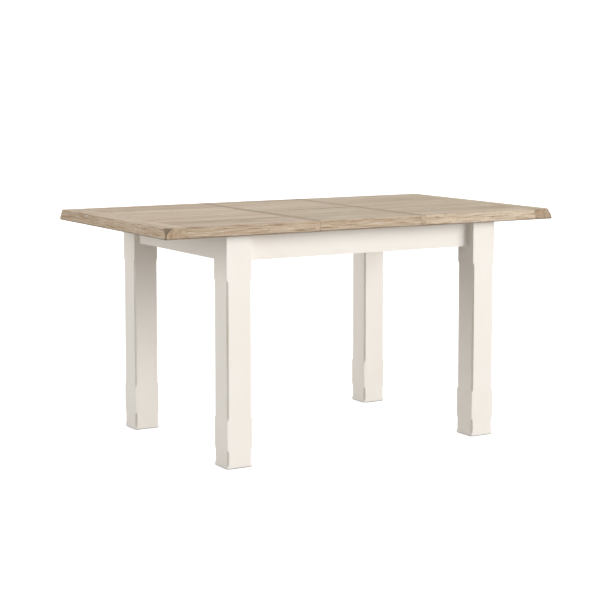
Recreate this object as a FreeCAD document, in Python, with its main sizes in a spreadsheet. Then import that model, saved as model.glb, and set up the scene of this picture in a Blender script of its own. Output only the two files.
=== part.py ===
import FreeCAD, Part
import math
import os
import re
import Sketcher

# An extending dining table. The top is two halves on wooden slides with a folding leaf between
# them, on a fixed frame of four square legs. The origin is on the floor at the middle of the
# table, +X runs along its length, -Y is the front and +Z is up. All lengths are millimetres.
# The table stands as it is used with the leaf in: both halves drawn out, the leaf flat.

document = FreeCAD.newDocument("extending_table")

SIZES = {
    # the top
    "table_height": 780,
    "half_length": 552,
    "leaf_length": 390,
    "top_width": 842,
    "top_thick": 35,
    "seam_gap": 0.5,
    "seam_chamfer": 1.5,
    "edge_slope": 6.5,
    "edge_fall": 32,
    "corner_chamfer": 4.5,
    "clip_depth": 18,
    "clip_front_left": 23,
    "clip_front_right": 14,
    "clip_rear_left": 5,
    "clip_rear_right": 8,
    "end_cleat": 75,
    "inner_cleat": 20,
    "tongue_thick": 11,
    "tongue_reach": 14,
    "tongue_stop": 60,
    "leaf_relief": 0.5,
    # the legs
    "frame_length": 1040,
    "frame_width": 776,
    "leg_square": 88,
    "leg_chamfer": 5.5,
    "stop_radius": 22,
    "foot_lip": 3,
    "ankle_top": 62,
    "foot_block_top": 154,
    "shaft_top": 604,
    "glide_thick": 2,
    "glide_radius": 19,
    "glide_pin": 2,
    "glide_pin_length": 15,
    # the aprons and their joints
    "top_clearance": 1,
    "apron_bottom": 660,
    "apron_thick": 22,
    "front_setback": 29,
    "end_setback": 18,
    "tenon_thick": 10,
    "tenon_reach": 25,
    "tenon_shoulder": 8,
    "block_thick": 24,
    "block_rise": 4,
    "block_drop": 3,
    "bolt_radius": 4,
    "bolt_in_leg": 50,
    "bolt_spare": 14,
    "washer_radius": 9,
    "washer_thick": 1.6,
    "nut_radius": 7.5,
    "nut_thick": 6.5,
    # the slides
    "travel_out": 60,
    "slide_clearance": 0.4,
    "stop_clearance": 0.5,
    "leg_clearance": 3.6,
    "runner_width": 22,
    "runner_height": 40,
    "runner_end_gap": 20,
    "runner_drop_clearance": 2,
    "rail_width": 26,
    "groove_depth": 8,
    "groove_height": 10.8,
    "housing": 6,
    "cross_thick": 22,
    "cross_rise": 5,
    "well_clearance": 6.5,
    # the pivot under the leaf
    "pivot_drop": 10,
    "pin_radius": 4,
    "pin_running": 0.05,
    "pin_head_radius": 6,
    "pin_head_thick": 2,
    "pin_end_gap": 1,
    "bush_wall": 1.5,
    "pivot_block_width": 44,
    "bracket_plate": 3,
    "bracket_length": 40,
    "bracket_width": 52,
    "ear_thick": 4,
    "ear_radius": 9,
    "ear_inset": 7,
    # the concealed hinges of the leaf
    "hinge_spacing": 130,
    "barrel_radius": 8.5,
    "barrel_depth": 28,
    "barrel_drop": 17.5,
    "link_inner": 14,
    "link_outer": 24,
    "link_thick": 4,
    "link_clearance": 0.4,
    # the screws
    "screw_radius": 2.25,
    "screw_head_radius": 4.5,
    "screw_head_depth": 3.2,
    "runner_screw_length": 60,
    "runner_screw_inset": 36,
    "rail_screw_length": 62,
    "pivot_screw_length": 58,
    "pivot_screw_offset": 14,
    "small_screw_radius": 1.75,
    "small_screw_head_radius": 3.4,
    "small_screw_head_depth": 2.4,
    "small_screw_length": 22,
    "small_screw_inset": 7,
}

sheet = document.addObject("Spreadsheet::Sheet", "sizes")
for row, (alias, size) in enumerate(SIZES.items(), start=1):
    sheet.set(f"A{row}", alias)
    sheet.set(f"B{row}", str(size))
    sheet.setAlias(f"B{row}", alias)
document.recompute()

# How far waste is drawn beyond the wood that it trims: at edges and ends, at corners, in fine cuts
CUT_MARGIN = 5
CLIP_MARGIN = 20
FINE_MARGIN = 1

# The links of the fold hinges: where each starts, how far it turns, and the play behind it
LINK_START = -135
LINK_SWEEP = 90
LINK_PLAY = 2

# Places worked out from the sizes
UNDERSIDE = "(table_height - top_thick)"
FRAME_TOP = f"({UNDERSIDE} - top_clearance)"
TOP_END = "(leaf_length / 2 + seam_gap + half_length)"
HALF_END = "(leaf_length / 2 + seam_gap)"
LEG_X = "(frame_length / 2 - leg_square / 2)"
LEG_Y = "(frame_width / 2 - leg_square / 2)"
LEG_INNER_X = "(frame_length / 2 - leg_square)"
LEG_INNER_Y = "(frame_width / 2 - leg_square)"
LONG_APRON_OUT = "(frame_width / 2 - front_setback)"
LONG_APRON_IN = f"({LONG_APRON_OUT} - apron_thick)"
END_APRON_OUT = "(frame_length / 2 - end_setback)"
END_APRON_IN = f"({END_APRON_OUT} - apron_thick)"
RUNNER_LOW = f"({UNDERSIDE} - runner_height)"
RAIL_LOW = f"({RUNNER_LOW} - runner_drop_clearance)"
SLIDE_MIDDLE = f"({UNDERSIDE} - runner_height / 2)"
OUTER_LANE = (f"({LEG_INNER_Y} - leg_clearance - runner_width)", f"({LEG_INNER_Y} - leg_clearance)")
RAIL_OUT = f"({OUTER_LANE[0]} - slide_clearance)"
RAIL_IN = f"({RAIL_OUT} - rail_width)"
INNER_LANE = (f"({RAIL_IN} - slide_clearance - runner_width)", f"({RAIL_IN} - slide_clearance)")
RUNNER_OUTER_END = f"({END_APRON_IN} - travel_out - stop_clearance)"
CROSS_LOW = "(apron_bottom + cross_rise)"
CROSS_NEAR = f"({HALF_END} + well_clearance)"
CROSS_FAR = f"({CROSS_NEAR} + cross_thick)"
LEAF_LOW = f"({UNDERSIDE} + leaf_relief)"
PIVOT_Y = "(top_width / 8)"
PIVOT_Z = f"({UNDERSIDE} - pivot_drop)"
BARREL_Z = "(table_height - barrel_drop)"
BLOCK_LOW = "(apron_bottom + block_rise)"
BLOCK_TOP = f"({RAIL_LOW} - block_drop)"
BOLT_Z = f"(({BLOCK_LOW} + {BLOCK_TOP}) / 2)"

SIDES = (("left", -1), ("right", 1))
EDGES = (("front", -1), ("rear", 1))


def linked(expression):
    """Turn the names of sizes in an expression into references to the sheet."""
    return re.sub(r"[a-z_]+", lambda word: f"sizes.{word[0]}" if word[0] in SIZES else word[0], expression)


def number(expression):
    """The value that an expression has now."""
    return float(sheet.evalExpression(linked(expression)))


def drive(item, **expressions):
    """Bind properties of an object to expressions; double underscores stand for dots."""
    for path, expression in expressions.items():
        item.setExpression(path.replace("__", "."), linked(expression))


def mirrored(sign, span):
    """A pair of limits, or its mirror image."""
    low, high = span
    return (low, high) if sign > 0 else (f"-({high})", f"-({low})")


# Primitives and booleans, all bound to the sheet

def box(name, along, across, upward):
    """A box between two limits on each axis."""
    item = document.addObject("Part::Box", name)
    drive(item, Length=f"({along[1]}) - ({along[0]})", Placement__Base__x=along[0])
    drive(item, Width=f"({across[1]}) - ({across[0]})", Placement__Base__y=across[0])
    drive(item, Height=f"({upward[1]}) - ({upward[0]})", Placement__Base__z=upward[0])
    return item


def place(item, start, direction):
    """Stand a round primitive on a point, with its axis along a direction."""
    item.Placement.Rotation = FreeCAD.Rotation(FreeCAD.Vector(0, 0, 1), FreeCAD.Vector(*direction))
    drive(item, Placement__Base__x=start[0], Placement__Base__y=start[1], Placement__Base__z=start[2])
    return item


def rod(name, radius, length, start, direction):
    item = document.addObject("Part::Cylinder", name)
    drive(item, Radius=radius, Height=length)
    return place(item, start, direction)


def cone(name, radius, end_radius, length, start, direction):
    item = document.addObject("Part::Cone", name)
    drive(item, Radius1=radius, Radius2=end_radius, Height=length)
    return place(item, start, direction)


def fuse(name, pieces):
    item = document.addObject("Part::MultiFuse", name)
    item.Shapes = pieces
    return item


def group(name, pieces):
    """Identical small pieces kept together in one node."""
    item = document.addObject("Part::Compound", name)
    item.Links = pieces
    return item


def cut(name, base, tools):
    """The base with the room for each tool taken out of it, so the two fit exactly."""
    item = document.addObject("Part::Cut", name)
    item.Base = base
    item.Tool = tools[0] if len(tools) == 1 else fuse(f"{name}_tools", tools)
    return item


def screw(name, start, direction, length, kind=""):
    """A countersunk screw whose head is flush with the surface that it goes into."""
    radius = f"{kind}screw_radius"
    depth = f"{kind}screw_head_depth"
    head = cone(f"{name}_head", f"{kind}screw_head_radius", radius, depth, start, direction)
    shank = rod(f"{name}_shank", radius, length, start, direction)
    return fuse(name, [head, shank])


# PartDesign bodies

def new_body(name):
    body = document.addObject("PartDesign::Body", name)
    return body


def new_sketch(body, name, plane, offset="0", turn=0):
    """A sketch on one of the body's own planes, set off along its normal or turned upright."""
    sketch = body.newObject("Sketcher::SketchObject", name)
    support = [feature for feature in body.Origin.OriginFeatures if feature.Role == plane]
    sketch.AttachmentSupport = [(support[0], "")]
    sketch.MapMode = "FlatFace"
    sketch.AttachmentOffset.Rotation = FreeCAD.Rotation(FreeCAD.Vector(0, 1, 0), turn)
    drive(sketch, AttachmentOffset__Base__z=offset)
    return sketch


def hold(sketch, kind, line, point, distance):
    """Hold a point of a line at a signed distance from the sketch's origin."""
    index = sketch.addConstraint(Sketcher.Constraint(kind, -1, 1, line, point, number(distance)))
    sketch.setExpression(f"Constraints[{index}]", linked(distance))


def outline(sketch, corners):
    """A closed polygon through corners that are pairs of expressions."""
    points = [FreeCAD.Vector(number(across), number(up), 0) for across, up in corners]
    lines = []
    for start, end in zip(points, points[1:] + points[:1]):
        lines.append(sketch.addGeometry(Part.LineSegment(start, end), False))
    for line, following in zip(lines, lines[1:] + lines[:1]):
        sketch.addConstraint(Sketcher.Constraint("Coincident", line, 2, following, 1))
    for line, (across, up) in zip(lines, corners):
        hold(sketch, "DistanceX", line, 1, across)
        hold(sketch, "DistanceY", line, 1, up)


def pad(body, name, sketch, length, midplane=False):
    feature = body.newObject("PartDesign::Pad", name)
    feature.Profile = sketch
    feature.Midplane = midplane
    drive(feature, Length=length)
    return feature


def pocket(body, name, sketch):
    """Cut the sketch right through the body, both ways from the sketch."""
    feature = body.newObject("PartDesign::Pocket", name)
    feature.Profile = sketch
    feature.Type = "ThroughAll"
    feature.Midplane = True
    return feature


# The top

def end_waste(side, end):
    """Waste outside the sloped edge, and under its small lower chamfer, at a distance from the middle."""
    low = UNDERSIDE
    inner_low = f"{side} * ({end} - (top_thick - edge_fall))"
    inner_high = f"{side} * ({end} - edge_slope)"
    beyond = f"{side} * ({end} + {CUT_MARGIN})"
    return [
        (inner_low, low),
        (f"{side} * {end}", "table_height - edge_fall"),
        (inner_high, "table_height"),
        (inner_high, f"table_height + {CUT_MARGIN}"),
        (beyond, f"table_height + {CUT_MARGIN}"),
        (beyond, f"{low} - {CUT_MARGIN}"),
        (inner_low, f"{low} - {CUT_MARGIN}"),
    ]


def seam_waste(side, seam):
    """The chamfer along a seam; side is +1 where the piece lies on the + side of the seam."""
    outside = f"{seam} - {side} * {FINE_MARGIN}"
    return [
        (outside, f"table_height - seam_chamfer - {FINE_MARGIN}"),
        (f"{seam} + {side} * (seam_chamfer + {FINE_MARGIN})", f"table_height + {FINE_MARGIN}"),
        (outside, f"table_height + {FINE_MARGIN}"),
    ]


def top_body(name, along, across, low=UNDERSIDE):
    """A flat board between two limits along the table and two across it."""
    body = new_body(name)
    section = new_sketch(body, f"{name}_section", "YZ_Plane", offset=along[0])
    corners = [(across[0], low), (across[1], low), (across[1], "table_height"), (across[0], "table_height")]
    outline(section, corners)
    pad(body, f"{name}_board", section, f"({along[1]}) - ({along[0]})")
    return body


def trim(body, name, plane, corners, turn=0):
    sketch = new_sketch(body, f"{name}_outline", plane, turn=turn)
    outline(sketch, corners)
    pocket(body, name, sketch)


def slope_long_edges(body, name, edges=EDGES):
    for edge, sign in edges:
        trim(body, f"{name}_{edge}_slope", "YZ_Plane", end_waste(sign, "(top_width / 2)"))


WIDTH = ("-top_width / 2", "top_width / 2")


def end_cleat(side, sign):
    """The cross-grained board across the outer end, with eased corners knocked off more at the top."""
    name = f"top_{side}_end_cleat_board"
    body = top_body(name, mirrored(sign, (f"{TOP_END} - end_cleat", TOP_END)), WIDTH)
    slope_long_edges(body, name)
    trim(body, f"{name}_end_slope", "XZ_Plane", end_waste(sign, TOP_END))
    corner = f"(({TOP_END} + top_width / 2 - corner_chamfer) / sqrt(2))"
    lean = "(edge_slope * sqrt(2))"
    beyond = f"({corner} + {CLIP_MARGIN})"
    for edge, edge_sign in EDGES:
        clipped = f"({corner} - {lean} - (clip_{edge}_{side} - corner_chamfer) / sqrt(2))"
        waste = [
            (corner, f"{UNDERSIDE} - {CUT_MARGIN}"),
            (corner, "table_height - edge_fall"),
            (f"{corner} - {lean} * (1 - clip_depth / edge_fall)", "table_height - clip_depth"),
            (clipped, "table_height"),
            (clipped, f"table_height + {CUT_MARGIN}"),
            (beyond, f"table_height + {CUT_MARGIN}"),
            (beyond, f"{UNDERSIDE} - {CUT_MARGIN}"),
        ]
        turned = [(f"{sign} * ({across})", up) for across, up in waste]
        trim(body, f"{name}_{edge}_clip", "XZ_Plane", turned, turn=45 * sign * edge_sign)
    return body


def field(side, sign):
    """The glued boards between the two cleats, with a stopped tongue into each."""
    name = f"top_{side}_field_board"
    inner = f"({HALF_END} + inner_cleat)"
    outer = f"({TOP_END} - end_cleat)"
    body = top_body(name, mirrored(sign, (inner, outer)), WIDTH)
    slope_long_edges(body, name)
    tongue = new_sketch(body, f"{name}_tongue_outline", "XZ_Plane")
    middle = "(table_height - top_thick / 2)"
    near = f"{sign} * ({inner} - tongue_reach)"
    far = f"{sign} * ({outer} + tongue_reach)"
    low = f"{middle} - tongue_thick / 2"
    high = f"{middle} + tongue_thick / 2"
    outline(tongue, [(near, low), (far, low), (far, high), (near, high)])
    pad(body, f"{name}_tongues", tongue, "top_width - 2 * tongue_stop", midplane=True)
    return body


def inner_cleat(side, sign):
    """The narrow cross-grained board at the seam with the leaf."""
    name = f"top_{side}_inner_cleat_board"
    body = top_body(name, mirrored(sign, (HALF_END, f"{HALF_END} + inner_cleat")), WIDTH)
    slope_long_edges(body, name)
    trim(body, f"{name}_seam", "XZ_Plane", seam_waste(sign, f"{sign} * {HALF_END}"))
    return body


def leaf_board(edge, sign):
    """One half of the leaf, from the fold line to the long edge."""
    name = f"leaf_{edge}_board"
    across = mirrored(sign, ("seam_gap / 2", "top_width / 2"))
    body = top_body(name, ("-leaf_length / 2", "leaf_length / 2"), across, low=LEAF_LOW)
    slope_long_edges(body, name, [(edge, sign)])
    trim(body, f"{name}_fold", "YZ_Plane", seam_waste(sign, f"{sign} * seam_gap / 2"))
    for side, side_sign in SIDES:
        seam = f"{side_sign} * leaf_length / 2"
        trim(body, f"{name}_{side}_seam", "XZ_Plane", seam_waste(-side_sign, seam))
    return body


# The legs

CHAMFER_DEPTH = "(leg_chamfer / sqrt(2))"


def chamfer_outline(sketch, low, high):
    """The path of a chamfer cutter along a leg's corner, curving out of the wood at both ends."""
    inner = f"(leg_square / sqrt(2) - {CHAMFER_DEPTH})"
    outer = f"({inner} + stop_radius + {CUT_MARGIN})"
    left, right, bottom, top = (number(text) for text in (inner, outer, low, high))
    radius = number("stop_radius")

    def line(x1, y1, x2, y2):
        start = FreeCAD.Vector(x1, y1, 0)
        return sketch.addGeometry(Part.LineSegment(start, FreeCAD.Vector(x2, y2, 0)), False)

    def arc(across, up, quarter):
        circle = Part.Circle(FreeCAD.Vector(across, up, 0), FreeCAD.Vector(0, 0, 1), radius)
        start = quarter * math.pi / 2
        return sketch.addGeometry(Part.ArcOfCircle(circle, start, start + math.pi / 2), False)

    upright = line(left, top - radius, left, bottom + radius)
    lower_stop = arc(left + radius, bottom + radius, 2)
    lower = line(left + radius, bottom, right, bottom)
    outside = line(right, bottom, right, top)
    upper = line(right, top, left + radius, top)
    upper_stop = arc(left + radius, top - radius, 1)
    for one, one_end, other, other_end in (
        (upright, 2, lower_stop, 1),
        (lower_stop, 2, lower, 1),
        (upper, 2, upper_stop, 1),
        (upper_stop, 2, upright, 1),
    ):
        sketch.addConstraint(Sketcher.Constraint("Tangent", one, one_end, other, other_end))
    sketch.addConstraint(Sketcher.Constraint("Coincident", lower, 2, outside, 1))
    sketch.addConstraint(Sketcher.Constraint("Coincident", outside, 2, upper, 1))
    sketch.addConstraint(Sketcher.Constraint("Vertical", upright))
    sketch.addConstraint(Sketcher.Constraint("Vertical", outside))
    sketch.addConstraint(Sketcher.Constraint("Horizontal", lower))
    sketch.addConstraint(Sketcher.Constraint("Horizontal", upper))
    sketch.addConstraint(Sketcher.Constraint("Equal", lower_stop, upper_stop))
    index = sketch.addConstraint(Sketcher.Constraint("Radius", lower_stop, radius))
    sketch.setExpression(f"Constraints[{index}]", linked("stop_radius"))
    hold(sketch, "DistanceX", upright, 1, inner)
    hold(sketch, "DistanceX", outside, 1, outer)
    hold(sketch, "DistanceY", lower, 1, low)
    hold(sketch, "DistanceY", upper, 1, high)


def leg_post(name, side_sign, edge_sign):
    """A square post with its corners chamfered along the shaft and the ankle, and left square between."""
    body = new_body(name)
    square = new_sketch(body, f"{name}_square", "XY_Plane", offset="glide_thick")
    half = "leg_square / 2"
    outline(square, [(f"-{half}", f"-{half}"), (half, f"-{half}"), (half, half), (f"-{half}", half)])
    pad(body, f"{name}_post", square, f"{FRAME_TOP} - glide_thick")
    # a chamfer leaves the corner this much before the cutter's circle ends
    rise = f"2 * stop_radius * {CHAMFER_DEPTH} - {CHAMFER_DEPTH} * {CHAMFER_DEPTH}"
    lead = f"(stop_radius - sqrt({rise}))"
    pockets = []
    for zone, low, high in (
        ("ankle", "glide_thick + foot_lip", "ankle_top"),
        ("shaft", "foot_block_top", "shaft_top"),
    ):
        sketch = new_sketch(body, f"{name}_{zone}_outline", "XZ_Plane", turn=45)
        chamfer_outline(sketch, f"({low}) - {lead}", f"({high}) + {lead}")
        pockets.append(pocket(body, f"{name}_{zone}", sketch))
    around = body.newObject("PartDesign::PolarPattern", f"{name}_around")
    around.Originals = pockets
    around.Axis = (square, ["N_Axis"])
    around.Angle = 360
    around.Occurrences = 4
    body.Tip = around
    drive(body, Placement__Base__x=f"{side_sign} * {LEG_X}", Placement__Base__y=f"{edge_sign} * {LEG_Y}")
    return body


def foot_glide(name, side_sign, edge_sign):
    """A round glide under a leg, with a pin up into the end grain."""
    here = (f"{side_sign} * {LEG_X}", f"{edge_sign} * {LEG_Y}", "0")
    disc = rod(f"{name}_disc", "glide_radius", "glide_thick", here, (0, 0, 1))
    pin = rod(f"{name}_pin", "glide_pin", "glide_thick + glide_pin_length", here, (0, 0, 1))
    return fuse(name, [disc, pin])


# The aprons, blocks and rails of the frame

def long_apron(edge, sign):
    """The front or rear apron, tenoned into two legs."""
    name = f"apron_{edge}_tenoned"
    board = box(
        f"{name}_board",
        (f"-{LEG_INNER_X}", LEG_INNER_X),
        mirrored(sign, (LONG_APRON_IN, LONG_APRON_OUT)),
        ("apron_bottom", FRAME_TOP),
    )
    middle = f"({LONG_APRON_OUT} - apron_thick / 2)"
    tenons = box(
        f"{name}_tenons",
        (f"-{LEG_INNER_X} - tenon_reach", f"{LEG_INNER_X} + tenon_reach"),
        mirrored(sign, (f"{middle} - tenon_thick / 2", f"{middle} + tenon_thick / 2")),
        ("apron_bottom + tenon_shoulder", f"{FRAME_TOP} - tenon_shoulder"),
    )
    return fuse(name, [board, tenons])


def end_apron(side, sign):
    """An end apron, tenoned into two legs; the runners stop against its inner face."""
    name = f"apron_{side}_tenoned"
    board = box(
        f"{name}_board",
        mirrored(sign, (END_APRON_IN, END_APRON_OUT)),
        (f"-{LEG_INNER_Y}", LEG_INNER_Y),
        ("apron_bottom", FRAME_TOP),
    )
    middle = f"({END_APRON_OUT} - apron_thick / 2)"
    tenons = box(
        f"{name}_tenons",
        mirrored(sign, (f"{middle} - tenon_thick / 2", f"{middle} + tenon_thick / 2")),
        (f"-{LEG_INNER_Y} - tenon_reach", f"{LEG_INNER_Y} + tenon_reach"),
        ("apron_bottom + tenon_shoulder", f"{FRAME_TOP} - tenon_shoulder"),
    )
    return fuse(name, [board, tenons])


def corner_block(name, side_sign, edge_sign):
    """A block across the corner between two aprons, its outer face against the leg's inner corner."""
    reach = f"({LEG_INNER_X} + {LEG_INNER_Y})"
    inner_reach = f"({reach} - block_thick * sqrt(2))"
    corners = []
    for total in (reach, inner_reach):
        along_long = (f"{total} - {LONG_APRON_IN}", LONG_APRON_IN)
        along_end = (END_APRON_IN, f"{total} - {END_APRON_IN}")
        corners.append([along_long, along_end])
    ordered = [corners[0][0], corners[0][1], corners[1][1], corners[1][0]]
    body = new_body(name)
    sketch = new_sketch(body, f"{name}_outline", "XY_Plane", offset=BLOCK_LOW)
    outline(sketch, [(f"{side_sign} * ({x})", f"{edge_sign} * ({y})") for x, y in ordered])
    pad(body, f"{name}_block", sketch, f"{BLOCK_TOP} - {BLOCK_LOW}")
    return body


def diagonal_rod(name, radius, inward, length, side_sign, edge_sign):
    """A rod on the bolt's line, from a distance inside the leg's corner, towards the leg."""
    start = (
        f"{side_sign} * ({LEG_INNER_X} - ({inward}) / sqrt(2))",
        f"{edge_sign} * ({LEG_INNER_Y} - ({inward}) / sqrt(2))",
        BOLT_Z,
    )
    return rod(name, radius, length, start, (side_sign, edge_sign, 0))


def cross_rail(side, sign):
    """A rail across the frame beside the leaf's well, housed in the long aprons."""
    reach = f"({LONG_APRON_IN} + housing)"
    along = mirrored(sign, (CROSS_NEAR, CROSS_FAR))
    return box(f"cross_rail_{side}_bar", along, (f"-{reach}", reach), (CROSS_LOW, RAIL_LOW))


def guide_rail(edge, sign):
    """A fixed rail along the frame with a groove in each side for the runners' tongues."""
    reach = f"({END_APRON_IN} + housing)"
    name = f"guide_rail_{edge}_bar"
    bar = box(name, (f"-{reach}", reach), mirrored(sign, (RAIL_IN, RAIL_OUT)), (RAIL_LOW, FRAME_TOP))
    grooves = []
    for lane, across in (
        ("outer", (f"{RAIL_OUT} - groove_depth", f"{RAIL_OUT} + {FINE_MARGIN}")),
        ("inner", (f"{RAIL_IN} - {FINE_MARGIN}", f"{RAIL_IN} + groove_depth")),
    ):
        grooves.append(box(
            f"{name}_{lane}_groove",
            (f"-{END_APRON_IN}", END_APRON_IN),
            mirrored(sign, across),
            (f"{SLIDE_MIDDLE} - groove_height / 2", f"{SLIDE_MIDDLE} + groove_height / 2"),
        ))
    return cut(f"{name}_grooved", bar, grooves)


def pivot_block(side, sign):
    """A block on the cross rail that carries the bush of the leaf's pivot."""
    across = (f"{PIVOT_Y} - pivot_block_width / 2", f"{PIVOT_Y} + pivot_block_width / 2")
    along = mirrored(sign, (CROSS_NEAR, CROSS_FAR))
    return box(f"pivot_block_{side}_wood", along, across, (RAIL_LOW, FRAME_TOP))


# The slides under the top

def runner(side, side_sign, edge, edge_sign):
    """A runner fixed under one half, with a tongue into the guide rail's groove."""
    name = f"runner_{side}_{edge}_bar"
    outer = side_sign < 0
    lane = OUTER_LANE if outer else INNER_LANE
    bar = box(
        f"{name}_stock",
        mirrored(side_sign, ("runner_end_gap", RUNNER_OUTER_END)),
        mirrored(edge_sign, lane),
        (RUNNER_LOW, UNDERSIDE),
    )
    near, far = lane
    tongue_across = (f"{near} - groove_depth", near) if outer else (far, f"{far} + groove_depth")
    tongue_half = "(groove_height / 2 - slide_clearance)"
    tongue = box(
        f"{name}_tongue",
        mirrored(side_sign, ("runner_end_gap", RUNNER_OUTER_END)),
        mirrored(edge_sign, tongue_across),
        (f"{SLIDE_MIDDLE} - {tongue_half}", f"{SLIDE_MIDDLE} + {tongue_half}"),
    )
    return fuse(name, [bar, tongue])


def runner_screws(side, side_sign):
    """Three screws up through each runner of one half into the top."""
    lane = OUTER_LANE if side_sign < 0 else INNER_LANE
    middle = f"(({lane[0]} + {lane[1]}) / 2)"
    first = f"({HALF_END} + runner_screw_inset)"
    last = f"({RUNNER_OUTER_END} - runner_screw_inset)"
    screws = []
    for edge, edge_sign in EDGES:
        for step in range(3):
            along = f"{side_sign} * ({first} + ({last} - {first}) * {step} / 2)"
            start = (along, f"{edge_sign} * {middle}", RUNNER_LOW)
            name = f"runner_screw_{side}_{edge}_{step + 1}"
            screws.append(screw(name, start, (0, 0, 1), "runner_screw_length"))
    return group(f"runner_screws_{side}", screws)


# The pivot and hinges of the leaf

def pivot_bracket(side, sign):
    """A plate under the rear leaf half with an ear that holds the pivot pin."""
    name = f"pivot_bracket_{side}_plate"
    outer = "(leaf_length / 2 - ear_inset)"
    low = f"({LEAF_LOW} - bracket_plate)"
    plate = box(
        f"{name}_flange",
        mirrored(sign, (f"{outer} - bracket_length", outer)),
        (f"{PIVOT_Y} - bracket_width / 2", f"{PIVOT_Y} + bracket_width / 2"),
        (low, LEAF_LOW),
    )
    ear = box(
        f"{name}_ear",
        mirrored(sign, (f"{outer} - ear_thick", outer)),
        (f"{PIVOT_Y} - ear_radius", f"{PIVOT_Y} + ear_radius"),
        (PIVOT_Z, low),
    )
    start = (f"{sign} * ({outer} - ear_thick)", PIVOT_Y, PIVOT_Z)
    ear_end = rod(f"{name}_ear_end", "ear_radius", "ear_thick", start, (sign, 0, 0))
    rounded = document.addObject("Part::MultiCommon", f"{name}_ear_round")
    keep = box(
        f"{name}_ear_keep",
        mirrored(sign, (f"{outer} - ear_thick", outer)),
        (f"{PIVOT_Y} - ear_radius", f"{PIVOT_Y} + ear_radius"),
        (f"{PIVOT_Z} - ear_radius", low),
    )
    rounded.Shapes = [ear_end, keep]
    return fuse(name, [plate, ear, rounded])


def pivot_pin(side, sign):
    """A headed pin through the bracket's ear into the bush."""
    inner = "(leaf_length / 2 - ear_inset - ear_thick)"
    head_start = (f"{sign} * ({inner} - pin_head_thick)", PIVOT_Y, PIVOT_Z)
    name = f"pivot_pin_{side}"
    head = rod(f"{name}_head", "pin_head_radius", "pin_head_thick", head_start, (sign, 0, 0))
    length = f"{CROSS_FAR} - pin_end_gap - {inner}"
    shank = rod(f"{name}_shank", "pin_radius", length, (f"{sign} * {inner}", PIVOT_Y, PIVOT_Z), (sign, 0, 0))
    return fuse(name, [head, shank])


def pivot_bush(side, sign):
    start = (f"{sign} * {CROSS_NEAR}", PIVOT_Y, PIVOT_Z)
    name = f"pivot_bush_{side}"
    wall = rod(f"{name}_wall", "pin_radius + pin_running + bush_wall", "cross_thick", start, (sign, 0, 0))
    return wall


def bush_bore(side, sign):
    start = (f"{sign} * ({CROSS_NEAR} - {FINE_MARGIN})", PIVOT_Y, PIVOT_Z)
    length = f"cross_thick + 2 * {FINE_MARGIN}"
    return rod(f"pivot_bush_{side}_bore", "pin_radius + pin_running", length, start, (sign, 0, 0))


def bracket_screws():
    screws = []
    for side, sign in SIDES:
        outer = "(leaf_length / 2 - ear_inset)"
        for end, along in (
            ("near", f"{outer} - bracket_length + small_screw_inset"),
            ("far", f"{outer} - ear_thick - small_screw_inset"),
        ):
            for edge, edge_sign in EDGES:
                across = f"{PIVOT_Y} + {edge_sign} * (bracket_width / 2 - small_screw_inset)"
                start = (f"{sign} * ({along})", across, f"{LEAF_LOW} - bracket_plate")
                name = f"bracket_screw_{side}_{end}_{edge}"
                screws.append(screw(name, start, (0, 0, 1), "small_screw_length", kind="small_"))
    return group("pivot_bracket_screws", screws)


def ring_sector(name, position, inner, outer, thick, first_angle, sweep):
    """Part of a ring about the fold line, its angles counted from the rear towards the top."""
    turn = FreeCAD.Rotation(FreeCAD.Vector(1, 0, 0), first_angle + 90)
    facing = turn.multiply(FreeCAD.Rotation(FreeCAD.Vector(0, 1, 0), 90))
    pieces = []
    for kind, radius, extra in (("disc", outer, 0), ("core", inner, FINE_MARGIN)):
        item = document.addObject("Part::Cylinder", f"{name}_{kind}")
        drive(item, Radius=radius, Height=f"({thick}) + 2 * {extra}")
        item.Placement.Rotation = facing
        face = f"({position}) - ({thick}) / 2 - {extra}"
        drive(item, Placement__Base__x=face, Placement__Base__z="table_height")
        pieces.append(item)
    pieces[0].Angle = sweep
    return cut(name, pieces[0], [pieces[1]])


def hinge_barrel(name, position, sign):
    """A round barrel let into the fold edge of one leaf half."""
    start = (position, f"{sign} * seam_gap / 2", BARREL_Z)
    return rod(name, "barrel_radius", "barrel_depth", start, (0, sign, 0))


# Build the pieces: each node's name with its object

nodes = {}


def node(name, item):
    item.Label = name
    nodes[name] = item
    return item


links = []
rear_barrels = []
front_barrels = []
for where, step in (("left", -1), ("middle", 0), ("right", 1)):
    position = f"({step} * hinge_spacing)"
    link = ring_sector(
        f"hinge_link_{where}",
        position,
        "link_inner",
        "link_outer",
        "link_thick",
        LINK_START,
        LINK_SWEEP,
    )
    slot = ring_sector(
        f"hinge_slot_{where}",
        position,
        "link_inner - link_clearance",
        "link_outer + link_clearance",
        "link_thick + 2 * link_clearance",
        LINK_START - LINK_PLAY,
        LINK_SWEEP + LINK_PLAY,
    )
    links.append(link)
    rear = hinge_barrel(f"hinge_barrel_rear_{where}", position, 1)
    rear_barrels.append(cut(f"hinge_barrel_rear_{where}_cut", rear, [link]))
    front = hinge_barrel(f"hinge_barrel_front_{where}", position, -1)
    front_barrels.append(cut(f"hinge_barrel_front_{where}_cut", front, [slot]))

node("fold_hinge_links", group("fold_hinge_link_group", links))
node("fold_hinge_barrels_rear", group("fold_hinge_rear_group", rear_barrels))
node("fold_hinge_barrels_front", group("fold_hinge_front_group", front_barrels))

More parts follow.
